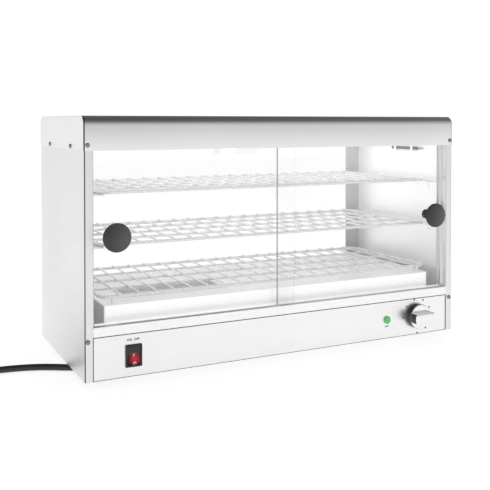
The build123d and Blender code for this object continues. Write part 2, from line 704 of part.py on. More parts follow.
def terminal_block():
    body = block(BLOCK_X, (82, 102), (1.6, 18))
    for n in range(4):
        x = BLOCK_X[0] + 6 + 12 * n
        body -= rod_z(2.5, x, 92, (12, 20))
        body -= rod_y(1.8, x, (80, 104), 8)
    return body


def internal_wires():
    """The lead's inner end and the insulated wires between the parts in the base and the lamp."""
    sheath_end = HEAD_REAR - GAP
    sheath = rod_y(CORD_RADIUS, RELIEF_X, (118, sheath_end), RELIEF_Z)
    z = CONTROL_Z
    element_x = ELEMENT_RIGHT
    near, far = ELEMENT_Y
    lead_in = [(RELIEF_X, 118, RELIEF_Z), (RELIEF_X, 108, 22), (-72, 108, 24), (-72, 104, 8)]
    to_switch = [(-78, 81, 8), (-78, 60, 8), (-262, 40, 12), (-262.35, -60, 26), (-262.35, -105.5, 26)]
    to_thermostat = [(-252.35, -105.5, 26), (-252.35, -84, 26), (180, -84, 14), (245, -60, 20)]
    to_thermostat += [(245, -98.5, z)]
    to_element = [(265, -98.5, z), (265, -60, z), (element_x, -10, 34)]
    to_element += [(element_x, near, 30), (element_x, near, 39)]
    back = [(element_x, far, 39), (element_x, far, 24), (120, 80, 10), (-42, 60, 8), (-42, 81, 8)]
    to_lamp = [(-54, 104, 8), (-54, 116, 8), (-300, 116, 8), (-CAVITY_X, 100, 14)]
    to_lamp += [(-CAVITY_X, 100, WIRE_TOP), (-72, 0, WIRE_TOP), (-72, 0, CEILING_Z + 3)]
    wires = [sheath]
    for points in (lead_in, to_switch, to_thermostat, to_element, back, to_lamp):
        corners = [WIRE_BEND] * (len(points) - 2)
        wires.append(tube(points, corners, WIRE_RADIUS))
    return group(wires)


# ---------- feet and screws ----------
def foot_places():
    return [(x, y) for x in (-FOOT_X, FOOT_X) for y in (-FOOT_Y, FOOT_Y)]


def feet():
    solids = []
    bore = FOOT_SCREW_RADIUS + 0.2
    for x, y in foot_places():
        foot = turned([
            (bore, 0.6), (FOOT_RADIUS, 0.6), (FOOT_RADIUS, -1.4), (FOOT_TIP_RADIUS + 1, -FOOT_HEIGHT + 1),
            (FOOT_TIP_RADIUS, -FOOT_HEIGHT), (FOOT_CUP_RADIUS, -FOOT_HEIGHT),
            (FOOT_CUP_RADIUS, FOOT_CUP_TOP), (bore, FOOT_CUP_TOP),
        ])
        solids.append(Pos(x, y, 0) * foot)
    return group(solids)


def foot_screws():
    solids = []
    for x, y in foot_places():
        head = rod_z(5.4, x, y, (FOOT_CUP_TOP - 3.5, FOOT_CUP_TOP))
        shank = rod_z(FOOT_SCREW_RADIUS, x, y, (FOOT_CUP_TOP, 8.0))
        nut = Pos(x, y, 1.6) * extrude(RegularPolygon(4.6, 6), 4)
        solids.append(head + shank + nut)
    return group(solids)


def hood_screws():
    solids = []
    x, z = HOOD_FRONT_SCREW
    for side in (-1, 1):
        solids.append(Pos(side * x, FRONT, z) * FACING_FRONT * screw(9))
        solids.append(Pos(side * x, REAR, z) * FACING_REAR * screw(9))
        turn = FACING_RIGHT if side > 0 else FACING_LEFT
        for y in (-HOOD_SIDE_SCREW[0], HOOD_SIDE_SCREW[0]):
            solids.append(Pos(side * HALF_WIDTH, y, HOOD_SIDE_SCREW[1]) * turn * screw(9))
    return group(solids)


def base_screws():
    solids = []
    for side in (-1, 1):
        x = side * HOOD_FRONT_SCREW[0]
        solids.append(Pos(x, FLANGE_FRONT, BASE_SCREW_Z) * FACING_FRONT * screw(8))
        solids.append(Pos(x, FLANGE_REAR, BASE_SCREW_Z) * FACING_REAR * screw(8))
    return group(solids)


# ---------- mains lead ----------
def strain_relief():
    """A flanged rubber sleeve that tapers along the lead."""
    length = RELIEF_MOUTH - BASE_REAR
    sleeve = turned([
        (CORD_RADIUS + GAP, -5), (9.5, -5), (9.5, -1.05), (RELIEF_BARREL, -1.05), (RELIEF_BARREL, 0),
        (10.5, 0), (10.5, 3), (8.0, 4.5), (6.3, length), (CORD_RADIUS + GAP, length),
    ])
    return Pos(RELIEF_X, BASE_REAR, RELIEF_Z) * FACING_REAR * sleeve


def cord_radii():
    """Each corner's arc: 0.45 of the shorter run beside it, over the tangent of half the turn."""
    radii = []
    points = [Vector(*p) for p in CORD_ROUTE]
    for before, here, after in zip(points, points[1:], points[2:]):
        turn = (here - before).get_angle(after - here)
        run = min((here - before).length, (after - here).length)
        radii.append(0.45 * run / math.tan(math.radians(turn) / 2))
    return radii


def mains_cord():
    radii = cord_radii()
    path = FilletPolyline(*CORD_ROUTE, radius=radii)
    cord = sweep(Plane(origin=path @ 0, z_dir=path % 0) * Circle(CORD_RADIUS), path=path)
    print("cord arc radii", [round(r) for r in radii])
    print("cord length", round(path.length, 1), "volume / (section x length)",
          round(cord.volume / (math.pi * CORD_RADIUS**2 * path.length), 4))
    return cord


def cord_coil():
    height = 2 * CORD_RADIUS * COIL_LAYERS
    outer = COIL_RINGS[1] + CORD_RADIUS
    inner = COIL_RINGS[0] - CORD_RADIUS
    x, y = COIL_CENTRE
    return rod_z(outer, x, y, (0, height)) - rod_z(inner, x, y, (-1, height + 1))


PLUG_X = COIL_CENTRE[0] - COIL_RINGS[1]
PLUG_Y = COIL_CENTRE[1] + 27.0
SLEEVE = 24.0
PLUG_BODY = 36.0


def plug_body():
    """A moulded in-line plug with a tapered sleeve, lying on the counter."""
    sleeve = turned([(0, 0), (6.2, 0), (8.5, SLEEVE), (0, SLEEVE)])
    section = RectangleRounded(38, 32, 12)
    grip = loft([
        Pos(0, 0, SLEEVE) * RectangleRounded(24, 20, 9),
        Pos(0, 0, SLEEVE + 14) * section,
    ])
    face = Pos(0, 0, SLEEVE + 14) * extrude(section, PLUG_BODY - 14)
    face = chamfer(face.edges().group_by(Axis.Z)[-1], 1.2)
    return Pos(PLUG_X, PLUG_Y, PLUG_LIFT) * FACING_REAR * (sleeve + grip + face)


def plug_pins():
    """Two slanted flat blades and an upright one."""
    start = SLEEVE + PLUG_BODY
    pins = []
    for x, z, lean in ((-7, 4, -30), (7, 4, 30), (0, -8, 0)):
        blade = Pos(x, z, start + 8.5) * Rot(0, 0, lean) * Box(1.6, 6.3, 17)
        pins.append(blade)
    return Pos(PLUG_X, PLUG_Y, PLUG_LIFT) * FACING_REAR * group(pins)


# ---------- every sub-part ----------
save("top_hood", top_hood())
save("right_side_panel", right_side_panel())
save("left_side_panel", mirrored(right_side_panel()))
save("right_liner", right_liner_with_probe_hole())
save("left_liner", mirrored(right_liner()))
save("right_jamb", right_jamb())
save("left_jamb", mirrored(right_jamb()))
save("ceiling_panel", ceiling_panel())
save("upper_door_track", upper_door_track())
save("lower_door_track", lower_door_track())
save("base_front_panel", base_front_panel())
save("base_rear_panel", base_rear_panel())
save("bottom_plate", bottom_plate())
save("cabinet_floor", cabinet_floor())
save("rear_frame", rear_frame())
save("rear_glass", rear_glass())
save("rear_retainers", group([rear_retainer(), mirrored(rear_retainer())]))
for tier, tier_z in SHELF_Z.items():
    save(f"wire_shelf_{tier}", wire_shelf(tier_z, legs=tier == "bottom"))
for tier in ("top", "middle"):
    save(f"shelf_support_{tier}_right", right_support(SHELF_Z[tier]))
    save(f"shelf_support_{tier}_left", mirrored(right_support(SHELF_Z[tier])))
save("heater_deck", heater_deck())
save("water_tray", water_tray())
save("heating_element", heating_element())
save("element_brackets", element_brackets())
for door, door_side in (("left", -1), ("right", 1)):
    save(f"{door}_door_glass", door_glass(door_side))
    save(f"{door}_door_pull", door_pull(door_side))
    save(f"{door}_door_fixing", door_fixing(door_side))
    save(f"{door}_door_glides", door_glides(door_side))
save("switch_housing", switch_housing())
save("switch_rocker", switch_rocker())
save("pilot_lens", pilot_lens())
save("pilot_body", pilot_body())
save("thermostat_body", thermostat_body())
save("thermostat_shaft", thermostat_shaft())
save("thermostat_knob", thermostat_knob())
save("capillary_tube", capillary_tube())
save("temperature_probe", temperature_probe())
save("probe_clips", probe_clips())
save("lamp_bracket", lamp_bracket())
save("lamp_holder", lamp_holder())
save("lamp_bulb", lamp_bulb())
save("terminal_block", terminal_block())
save("internal_wires", internal_wires())
save("feet", feet())
save("foot_screws", foot_screws())
save("hood_screws", hood_screws())
save("base_screws", base_screws())
save("strain_relief", strain_relief())
save("mains_cord", mains_cord(), IN_PLACE)
save("cord_coil", cord_coil(), IN_PLACE)
save("plug_body", plug_body(), IN_PLACE)
save("plug_pins", plug_pins(), IN_PLACE)
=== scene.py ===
import math
import random

import bmesh
import bpy
from mathutils import Matrix, Vector


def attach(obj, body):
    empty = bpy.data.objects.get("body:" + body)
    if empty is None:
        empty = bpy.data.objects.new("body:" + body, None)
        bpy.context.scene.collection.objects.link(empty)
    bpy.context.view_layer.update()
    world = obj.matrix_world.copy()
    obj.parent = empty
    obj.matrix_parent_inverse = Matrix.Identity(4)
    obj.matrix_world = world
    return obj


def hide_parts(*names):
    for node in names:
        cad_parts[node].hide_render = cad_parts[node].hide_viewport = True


# Looks for a heated countertop display case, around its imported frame. Metres, X right, Y back, Z up.
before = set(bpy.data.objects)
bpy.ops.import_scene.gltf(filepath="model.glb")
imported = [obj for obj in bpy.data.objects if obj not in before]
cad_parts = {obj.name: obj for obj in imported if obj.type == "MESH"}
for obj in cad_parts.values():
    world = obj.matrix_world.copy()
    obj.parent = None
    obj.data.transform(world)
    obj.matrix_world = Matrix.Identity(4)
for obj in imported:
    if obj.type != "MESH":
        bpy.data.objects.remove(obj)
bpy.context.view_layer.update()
scene = bpy.context.scene
random.seed(7)


# ---------- camera ----------
YAW = 26.477
PITCH = -0.997
camera_data = bpy.data.cameras.new("camera")
camera_data.lens = 58.2
camera_data.sensor_width = 36.0
camera_data.shift_y = -0.2239
camera_data.clip_start = 0.01
camera_data.clip_end = 60.0
camera = bpy.data.objects.new("camera", camera_data)
scene.collection.objects.link(camera)
camera.location = (-0.62066, -1.21803, 0.38233)
camera.rotation_euler = (math.radians(90 + PITCH), 0.0, -math.radians(YAW))
scene.camera = camera


# ---------- dimensions shared with the frame ----------
# The case's own millimetres start at its middle and its underside.
# The row frame is in metres and starts at the counter.
SHIFT_Y = 0.010
FOOT = 0.015


def at(x, y, z):
    """A point given in the case's own millimetres, in the row frame's metres."""
    return Vector((x / 1000, y / 1000 + SHIFT_Y, z / 1000 + FOOT))


# Places and sizes in the case's millimetres
BASE_FACE = -138.4
TRACK_REAR_CHANNEL = BASE_FACE + 11.0
SWITCH = (-257.35, 29.9)
PILOT_X = 190.9
KNOB_X = 255.0
CONTROL_Z = 31.2
PULL_X = 287.4
PULL_Z = 204.5
SEAM_X = 317.4
SEAM_WIDTH = 1.3
SCALE_RADIUS = 29.0
SHELVES = {"top": 264.0, "middle": 187.5, "bottom": 111.0}
SHELF_HALF_X = 296.0
SHELF_FRONT = -107.0
SHELF_REAR = 112.0
LAMP_Z = 324.0
RELIEF = (-100.0, 22.0)

# Heights between which bounced light grows, in the case's millimetres
TRACK_DIM, TRACK_BRIGHT = 67, 75
DECK_DIM, DECK_BRIGHT = 66, 86
WALL_DIM, WALL_BRIGHT = 95, 250

# Counts, and the degrees between the scale's dots
CROSS_COUNT = 20
SCALE_DOTS = 7
SCALE_STEP = 38.57

# In metres: the print's thickness, the radius beyond which the knob's sides turn black, the bottom and top
# of the hood's flat front
PRINT = 0.0001
KNOB_BLACK_RADIUS = 0.0185
HOOD_FACE = (0.341, 0.3775)

# How much the shading leans: over the hood's flat, and for each metre from a pull's middle
HOOD_CROWN = 0.085
PULL_DOME = 12.0


# ---------- node materials ----------
def shader(name):
    """A new material, its tree and its main shader node."""
    material = bpy.data.materials.new(name)
    material.use_nodes = True
    tree = material.node_tree
    return material, tree, tree.nodes["Principled BSDF"]


def coords(tree, scale):
    """Object coordinates, stretched: they are the row frame's metres."""
    where = tree.nodes.new("ShaderNodeTexCoord")
    mapping = tree.nodes.new("ShaderNodeMapping")
    mapping.inputs["Scale"].default_value = scale
    tree.links.new(where.outputs["Object"], mapping.inputs["Vector"])
    return mapping.outputs["Vector"]


def noise(tree, scale, detail=3.0, roughness=0.6, size=1.0):
    """Noise that the object's own axes carry, stretched by a scale for each axis."""
    node = tree.nodes.new("ShaderNodeTexNoise")
    node.inputs["Scale"].default_value = size
    node.inputs["Detail"].default_value = detail
    node.inputs["Roughness"].default_value = roughness
    tree.links.new(coords(tree, scale), node.inputs["Vector"])
    return node.outputs["Fac"]


def spread(tree, value, low, high, start=0.3, end=0.7):
    """Low to high as the value goes from start to end, and level outside."""
    node = tree.nodes.new("ShaderNodeMapRange")
    node.inputs["From Min"].default_value = start
    node.inputs["From Max"].default_value = end
    node.inputs["To Min"].default_value = low
    node.inputs["To Max"].default_value = high
    tree.links.new(value, node.inputs["Value"])
    return node.outputs["Result"]


def blend_colour(tree, factor, first, second):
    """A mix of two colours, each a triple or a socket."""
    node = tree.nodes.new("ShaderNodeMix")
    node.data_type = "RGBA"
    for socket, colour in (("A_Color", first), ("B_Color", second)):
        target = next(s for s in node.inputs if s.identifier == socket)
        if hasattr(colour, "is_linked"):
            tree.links.new(colour, target)
        else:
            target.default_value = (*colour, 1.0)
    target = next(s for s in node.inputs if s.identifier == "Factor_Float")
    if hasattr(factor, "is_linked"):
        tree.links.new(factor, target)
    else:
        target.default_value = factor
    return next(s for s in node.outputs if s.identifier == "Result_Color")


def bump(tree, height, distance, strength=1.0, normal=None):
    """A normal roughened by a height, over another normal if one is given."""
    node = tree.nodes.new("ShaderNodeBump")
    node.inputs["Distance"].default_value = distance
    node.inputs["Strength"].default_value = strength
    tree.links.new(height, node.inputs["Height"])
    if normal is not None:
        tree.links.new(normal, node.inputs["Normal"])
    return node.outputs["Normal"]


def maths(tree, operation, first, second=0.0, third=0.0):
    """One sum of up to three numbers or sockets."""
    node = tree.nodes.new("ShaderNodeMath")
    node.operation = operation
    for socket, value in zip(node.inputs, (first, second, third)):
        if hasattr(value, "is_linked"):
            tree.links.new(value, socket)
        else:
            socket.default_value = value
    return node.outputs[0]


def vector(tree, x=0.0, z=0.0):
    """A vector from an X and a Z, each a number or a socket."""
    node = tree.nodes.new("ShaderNodeCombineXYZ")
    for socket, value in ((node.inputs[0], x), (node.inputs[2], z)):
        if hasattr(value, "is_linked"):
            tree.links.new(value, socket)
        else:
            socket.default_value = value
    return node.outputs[0]


def leaning(tree, normal, lean):
    """A normal that leans by a small vector."""
    total = tree.nodes.new("ShaderNodeVectorMath")
    tree.links.new(normal, total.inputs[0])
    tree.links.new(lean, total.inputs[1])
    unit = tree.nodes.new("ShaderNodeVectorMath")
    unit.operation = "NORMALIZE"
    tree.links.new(total.outputs[0], unit.inputs[0])
    return unit.outputs[0]


def mix_shaders(tree, factor, first, second):
    """The first shader where the factor is 0, the second where it is 1."""
    node = tree.nodes.new("ShaderNodeMixShader")
    tree.links.new(factor, node.inputs[0])
    tree.links.new(first, node.inputs[1])
    tree.links.new(second, node.inputs[2])
    return node.outputs[0]


def place_axes(tree):
    """X, Y and Z of the shaded point in its object's own frame."""
    where = tree.nodes.new("ShaderNodeTexCoord")
    split = tree.nodes.new("ShaderNodeSeparateXYZ")
    tree.links.new(where.outputs["Object"], split.inputs[0])
    return split.outputs[0], split.outputs[1], split.outputs[2]


def facing_axes(tree):
    """X, Y and Z of the surface's true normal."""
    geometry = tree.nodes.new("ShaderNodeNewGeometry")
    split = tree.nodes.new("ShaderNodeSeparateXYZ")
    tree.links.new(geometry.outputs["True Normal"], split.inputs[0])
    return split.outputs[0], split.outputs[1], split.outputs[2]


def radius_from(tree, first, first_centre, second, second_centre):
    """The distance from a centre, across two axes."""
    a = maths(tree, "SUBTRACT", first, first_centre)
    b = maths(tree, "SUBTRACT", second, second_centre)
    total = maths(tree, "ADD", maths(tree, "MULTIPLY", a, a), maths(tree, "MULTIPLY", b, b))
    return maths(tree, "SQRT", total)


BRUSH = {"x": (9, 900, 900), "y": (900, 9, 900), "z": (900, 900, 9)}


def steel(name, colour, roughness, brush="x", grain=0.5, smudge=0.03, metal=1.0, normal=None):
    """Brushed sheet steel: streaks along one axis in roughness and height, and faint handling marks."""
    material, tree, bsdf = shader(name)
    streak = noise(tree, BRUSH[brush], 4.0, 0.7)
    cloud = noise(tree, (5, 5, 5), 4.0, 0.55)
    light = tuple(min(c + smudge, 1.0) for c in colour)
    dark = tuple(c - smudge for c in colour)
    tint = blend_colour(tree, spread(tree, cloud, 0.0, 1.0), dark, light)
    fine = tuple(c * 0.93 for c in colour)
    tint = blend_colour(tree, spread(tree, streak, 0.0, 0.35, 0.25, 0.75), tint, fine)
    tree.links.new(tint, bsdf.inputs["Base Color"])
    bsdf.inputs["Metallic"].default_value = metal
    rough = spread(tree, streak, roughness * 0.8, roughness * 1.25, 0.25, 0.75)
    tree.links.new(rough, bsdf.inputs["Roughness"])
    base = None if normal is None else normal(tree)
    tree.links.new(bump(tree, streak, 0.00003, grain, base), bsdf.inputs["Normal"])
    return material


def crowned(tree):
    """The hood's front and rear lean back a little towards their bends, as pressed sheet does."""
    height = place_axes(tree)[2]
    facing = maths(tree, "ABSOLUTE", facing_axes(tree)[1])
    lean = spread(tree, height, 0.0, HOOD_CROWN, *HOOD_FACE)
    lean = maths(tree, "MULTIPLY", lean, maths(tree, "GREATER_THAN", facing, 0.5))
    geometry = tree.nodes.new("ShaderNodeNewGeometry")
    return leaning(tree, geometry.outputs["Normal"], vector(tree, z=lean))


def chrome(name, colour, roughness, flaw=0.15, metal=1.0):
    """Bright plating with a trace of unevenness under it."""
    material, tree, bsdf = shader(name)
    wave = noise(tree, (60, 60, 60), 2.0, 0.5)
    fleck = noise(tree, (700, 700, 700), 3.0, 0.6)
    tint = blend_colour(tree, spread(tree, fleck, 0.0, 1.0), tuple(c * 0.93 for c in colour), colour)
    tree.links.new(tint, bsdf.inputs["Base Color"])
    bsdf.inputs["Metallic"].default_value = metal
    tree.links.new(spread(tree, fleck, roughness * 0.8, roughness * 1.5), bsdf.inputs["Roughness"])
    tree.links.new(bump(tree, wave, 0.0002, flaw), bsdf.inputs["Normal"])
    return material


def chrome_with_painted_dark_rim(name):
    """A chrome-fronted knob: the rim and the ends of the grip bar are black moulding that also stands in
    for the dark the plating mirrors there, a painted dark reflection; up-facing faces lose most of their
    metal, a painted highlight.
    """
    material = chrome(name, (0.86, 0.86, 0.87), 0.06, 0.05)
    tree = material.node_tree
    bsdf = tree.nodes["Principled BSDF"]
    x, _, z = place_axes(tree)
    middle = at(KNOB_X, 0, CONTROL_Z)
    outer = maths(tree, "GREATER_THAN", radius_from(tree, x, middle.x, z, middle.z), KNOB_BLACK_RADIUS)
    sideways = maths(tree, "LESS_THAN", maths(tree, "ABSOLUTE", facing_axes(tree)[1]), 0.55)
    # Black on the rim and grip-bar ends: black moulding, and also a painted dark reflection.
    painted_black = maths(tree, "MULTIPLY", outer, sideways)
    # Up-facing faces lose most of their metal so they catch the top light: a painted highlight.
    upward = maths(tree, "MULTIPLY", maths(tree, "GREATER_THAN", facing_axes(tree)[2], 0.5), 0.8)
    plated = bsdf.inputs["Base Color"].links[0].from_socket
    tree.links.new(blend_colour(tree, painted_black, plated, (0.008, 0.008, 0.009)), bsdf.inputs["Base Color"])
    painted_faces = maths(tree, "MAXIMUM", painted_black, upward)
    tree.links.new(maths(tree, "SUBTRACT", 1.0, painted_faces), bsdf.inputs["Metallic"])
    return material


def plastic(name, colour, roughness, texture=900, relief=0.25, specular=0.5):
    """Moulded plastic or rubber with a fine spark-eroded texture."""
    material, tree, bsdf = shader(name)
    grain = noise(tree, (texture, texture, texture), 3.0, 0.65)
    patch = noise(tree, (35, 35, 35), 3.0, 0.6)
    light = tuple(min(c * 1.35 + 0.004, 1.0) for c in colour)
    tint = blend_colour(tree, spread(tree, patch, 0.0, 1.0), colour, light)
    tree.links.new(tint, bsdf.inputs["Base Color"])
    bsdf.inputs["Specular IOR Level"].default_value = specular
    tree.links.new(spread(tree, grain, roughness * 0.85, roughness * 1.2), bsdf.inputs["Roughness"])
    tree.links.new(bump(tree, grain, 0.00008, relief), bsdf.inputs["Normal"])
    return material


def see_through(tree, tint, ior):
    """A face that lets light straight through and mirrors a little."""
    clear = tree.nodes.new("ShaderNodeBsdfTransparent")
    clear.inputs["Color"].default_value = (*tint, 1.0)
    shine = tree.nodes.new("ShaderNodeBsdfGlossy")
    fresnel = tree.nodes.new("ShaderNodeFresnel")
    fresnel.inputs["IOR"].default_value = ior
    smear = noise(tree, (14, 14, 30), 4.0, 0.6)
    tree.links.new(spread(tree, smear, 0.005, 0.05), shine.inputs["Roughness"])
    geometry = tree.nodes.new("ShaderNodeNewGeometry")
    entering = maths(tree, "SUBTRACT", 1.0, geometry.outputs["Backfacing"])
    mirrored = maths(tree, "MULTIPLY", fresnel.outputs[0], entering)
    return mix_shaders(tree, mirrored, clear.outputs[0], shine.outputs[0])


def domed_plastic(name):
    """The pulls' satin moulding, with a slight dome across the face, and a painted sheen that lightens it
    towards its right.
    """
    material = plastic(name, (0.02, 0.02, 0.022), 0.36, 1400, 0.2)
    tree = material.node_tree
    bsdf = tree.nodes["Principled BSDF"]
    x, _, z = place_axes(tree)
    middle = at(PULL_X, 0, PULL_Z)
    side = maths(tree, "SIGN", x)
    across = maths(tree, "MULTIPLY", side, maths(tree, "SUBTRACT", maths(tree, "ABSOLUTE", x), middle.x))
    moulded = bsdf.inputs["Base Color"].links[0].from_socket
    # Painted sheen: the pull's colour lightens towards its right side.
    painted_sheen = spread(tree, across, 0.0, 1.0, -0.012, 0.02)
    tree.links.new(blend_colour(tree, painted_sheen, moulded, (0.075, 0.075, 0.078)), bsdf.inputs["Base Color"])
    upwards = maths(tree, "SUBTRACT", z, middle.z)
    side_lean, top_lean = [maths(tree, "MULTIPLY", offset, PULL_DOME) for offset in (across, upwards)]
    lean = vector(tree, side_lean, top_lean)
    grained = bsdf.inputs["Normal"].links[0].from_socket
    tree.links.new(leaning(tree, grained, lean), bsdf.inputs["Normal"])
    return material


def sheet_glass(name, left_edge, right_edge, ior=1.45):
    """Clear flat glass with see-through faces and ground edges; left- and right-facing edges take their own
    given colours, which on the doors are painted shade and painted light.
    """
    material, tree, bsdf = shader(name)
    face = see_through(tree, (0.995, 0.997, 0.996), ior)
    facing_x, facing_y, _ = facing_axes(tree)
    polish = noise(tree, (300, 300, 300), 2.0, 0.5)
    geometry = tree.nodes.new("ShaderNodeNewGeometry")
    outward = maths(tree, "SUBTRACT", 1.0, maths(tree, "MULTIPLY", geometry.outputs["Backfacing"], 2.0))
    # Left-facing edges take the first colour and are mostly solid, right-facing ones the second and are
    # mostly see-through: on the doors, painted shade and painted light.
    rightward = maths(tree, "GREATER_THAN", maths(tree, "MULTIPLY", facing_x, outward), 0.0)
    shade = blend_colour(tree, rightward, left_edge, right_edge)
    shade = blend_colour(tree, spread(tree, polish, 0.0, 0.15), shade, (0.5, 0.55, 0.53))
    tree.links.new(shade, bsdf.inputs["Base Color"])
    bsdf.inputs["Roughness"].default_value = 0.3
    is_edge = maths(tree, "LESS_THAN", maths(tree, "ABSOLUTE", facing_y), 0.9)
    is_edge = maths(tree, "MULTIPLY", is_edge, spread(tree, rightward, 0.85, 0.1, 0.0, 1.0))
    whole = mix_shaders(tree, is_edge, face, bsdf.outputs[0])
    tree.links.new(whole, tree.nodes["Material Output"].inputs["Surface"])
    return material


def bulb_glass(name):
    """The lamp's thin clear glass."""
    material, tree, bsdf = shader(name)
    output = tree.nodes["Material Output"]
    tree.links.new(see_through(tree, (0.97, 0.97, 0.97), 1.05), output.inputs["Surface"])
    tree.nodes.remove(bsdf)
    return material


def lit_plastic(name, colour, glow, roughness=0.2):
    """Translucent coloured plastic with light behind it."""
    material = plastic(name, colour, roughness, texture=500, relief=0.1)
    bsdf = material.node_tree.nodes["Principled BSDF"]
    bsdf.inputs["Emission Color"].default_value = (*colour, 1.0)
    bsdf.inputs["Emission Strength"].default_value = glow
    bsdf.inputs["Coat Weight"].default_value = 0.5
    bsdf.inputs["Coat Roughness"].default_value = 0.08
    return material


def lit_track(name):
    """Satin aluminium, with the bright case's bounced light inside its rear channel."""
    material = steel(name, (0.92, 0.92, 0.92), 0.28, "x", 0.25, metal=0.6)
    tree = material.node_tree
    _, y, z = place_axes(tree)
    inside = maths(tree, "GREATER_THAN", y, at(0, TRACK_REAR_CHANNEL, 0).y)
    rise = spread(tree, z, 0.04, 0.55, at(0, 0, TRACK_DIM).z, at(0, 0, TRACK_BRIGHT).z)
    return lift(material, maths(tree, "MULTIPLY", inside, rise), 0.6)


def rocker_plastic(name):
    """The rocker key: painted near-black above as the shade of its pressed-in upper half, translucent red
    below with a lit middle, and moulded I and O marks.
    """
    material, tree, bsdf = shader(name)
    x, _, z = place_axes(tree)
    centre_x = at(SWITCH[0], 0, 0).x
    split_z = at(0, 0, SWITCH[1] + 6).z
    grain = noise(tree, (900, 900, 900), 3.0, 0.6)
    lens = spread(tree, z, 1.0, 0.0, split_z - 0.0012, split_z + 0.0006)
    wide = maths(tree, "DIVIDE", maths(tree, "SUBTRACT", x, centre_x + 0.001), 0.0078)
    tall = maths(tree, "DIVIDE", maths(tree, "SUBTRACT", z, split_z - 0.0105), 0.0085)
    glow = spread(tree, radius_from(tree, wide, 0.0, tall, 0.0), 1.0, 0.0, 0.35, 1.15)
    red = blend_colour(tree, glow, (0.035, 0.006, 0.007), (0.34, 0.012, 0.024))
    # Above the split the key is near-black: painted shade of its pressed-in upper half.
    tint = blend_colour(tree, lens, (0.012, 0.012, 0.013), red)
    bar = maths(tree, "COMPARE", x, centre_x, 0.0006)
    bar = maths(tree, "MULTIPLY", bar, maths(tree, "COMPARE", z, split_z - 0.0052, 0.0018))
    ring = maths(tree, "COMPARE", radius_from(tree, x, centre_x, z, split_z - 0.0162), 0.0018, 0.00055)
    mark = maths(tree, "MAXIMUM", bar, ring)
    tree.links.new(blend_colour(tree, mark, tint, (0.75, 0.6, 0.6)), bsdf.inputs["Base Color"])
    tree.links.new(spread(tree, grain, 0.16, 0.26), bsdf.inputs["Roughness"])
    tree.links.new(blend_colour(tree, maths(tree, "MULTIPLY", lens, glow), (0, 0, 0), (0.42, 0.012, 0.028)),
                   bsdf.inputs["Emission Color"])
    bsdf.inputs["Emission Strength"].default_value = 0.35
    tree.links.new(bump(tree, grain, 0.00004, 0.15), bsdf.inputs["Normal"])
    return material


def shade_bends(material):
    """Upright bends of the sheet are narrow and darker than the flats beside them."""
    tree = material.node_tree
    bsdf = tree.nodes["Principled BSDF"]
    x, y, _ = facing_axes(tree)
    between = maths(tree, "MULTIPLY", maths(tree, "ABSOLUTE", x), maths(tree, "ABSOLUTE", y))
    bend = maths(tree, "GREATER_THAN", between, 0.12)
    flat = bsdf.inputs["Base Color"].links[0].from_socket
    tree.links.new(blend_colour(tree, bend, flat, (0.07, 0.07, 0.07)), bsdf.inputs["Base Color"])
    return material


def matt_ends(material, roughness):
    """The flat ends are rougher than the long faces."""
    tree = material.node_tree
    bsdf = tree.nodes["Principled BSDF"]
    end = maths(tree, "GREATER_THAN", maths(tree, "ABSOLUTE", facing_axes(tree)[0]), 0.7)
    usual = bsdf.inputs["Roughness"].links[0].from_socket
    rougher = maths(tree, "MAXIMUM", usual, maths(tree, "MULTIPLY", end, roughness))
    tree.links.new(rougher, bsdf.inputs["Roughness"])
    return material


def lift(material, level, strength):
    """Light that the bright inside of the case bounces onto a surface; level is a socket or a number."""
    tree = material.node_tree
    bsdf = tree.nodes["Principled BSDF"]
    tree.links.new(blend_colour(tree, level, (0, 0, 0), (1, 1, 1)), bsdf.inputs["Emission Color"])
    bsdf.inputs["Emission Strength"].default_value = strength
    return material


def lit_deck(material):
    """The deck's top and front catch the light, and its front darkens towards the floor."""
    tree = material.node_tree
    _, y, z = facing_axes(tree)
    height = place_axes(tree)[2]
    front = maths(tree, "MULTIPLY", maths(tree, "LESS_THAN", y, -0.5),
                  spread(tree, height, 0.0, 1.0, at(0, 0, DECK_DIM).z, at(0, 0, DECK_BRIGHT).z))
    top = maths(tree, "MULTIPLY", maths(tree, "GREATER_THAN", z, 0.5), 0.5)
    return lift(material, maths(tree, "ADD", front, top), 0.2)


def lit_wall(material):
    """The liners' broad faces, brighter towards the lamp."""
    tree = material.node_tree
    x = maths(tree, "ABSOLUTE", facing_axes(tree)[0])
    height = place_axes(tree)[2]
    level = spread(tree, height, 0.12, 1.0, at(0, 0, WALL_DIM).z, at(0, 0, WALL_BRIGHT).z)
    return lift(material, maths(tree, "MULTIPLY", maths(tree, "GREATER_THAN", x, 0.5), level), 0.26)


HOOD = steel("hood_steel", (0.85, 0.85, 0.853), 0.2, "x", 0.3, normal=crowned)
shade_bends(HOOD)
matt_ends(HOOD, 0.4)
PANEL = steel("panel_steel", (0.8, 0.8, 0.8), 0.4, "y", 0.3)
shade_bends(PANEL)
FRONT = steel("front_steel", (0.87, 0.87, 0.87), 0.32, "x", 0.3)
BRIGHT = steel("bright_steel", (0.9, 0.9, 0.9), 0.2, "x", 0.05, 0.015, metal=0.8)
DECK = lit_deck(steel("deck_steel", (0.95, 0.95, 0.95), 0.36, "x", 0.05, 0.015, metal=0.5))
WALL = lit_wall(steel("wall_steel", (0.92, 0.92, 0.92), 0.38, "y", 0.05, 0.015, metal=0.7))
FRAME = steel("frame_steel", (0.66, 0.66, 0.66), 0.35, "z", 0.1, metal=0.6)
JAMB = steel("jamb_steel", (0.85, 0.85, 0.85), 0.3, "z", 0.1, metal=0.8)
DARK_STEEL = steel("plain_steel", (0.55, 0.55, 0.56), 0.3, "x", 0.3)
TRACK = lit_track("track_aluminium")
TRAY = steel("tray_steel", (0.88, 0.88, 0.88), 0.3, "x", 0.2, metal=0.4)
